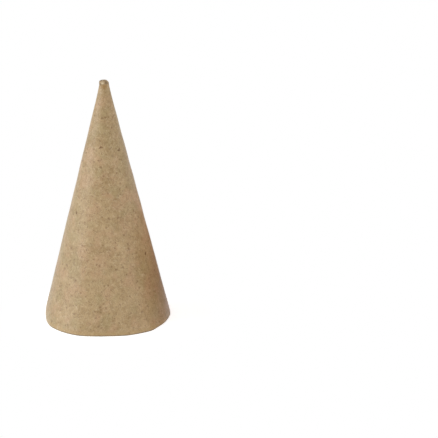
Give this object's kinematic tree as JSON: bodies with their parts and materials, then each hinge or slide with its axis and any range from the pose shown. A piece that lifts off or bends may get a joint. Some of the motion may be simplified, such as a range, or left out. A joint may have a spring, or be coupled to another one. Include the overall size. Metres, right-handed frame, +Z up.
{
  "type": "paper cone",
  "caption": "Hollow cone of wound and glued kraft board with a blunt nose and an open mouth, which stands on its rim; a craft and display blank.",
  "frame": {"origin": "the middle of the open mouth, in the plane of the rim that the cone stands on", "axes": "+Z up the cone's axis to its nose, -Y the side that faces the camera in the picture, +X to the right of that view"},
  "size_m": [0.0697, 0.0699, 0.1335],
  "materials": {
    "kraft_board": "matt, fibrous brown kraft board"
  },
  "bodies": {
    "root": {"paper_cone": "kraft_board"}
  },
  "joints": []
}
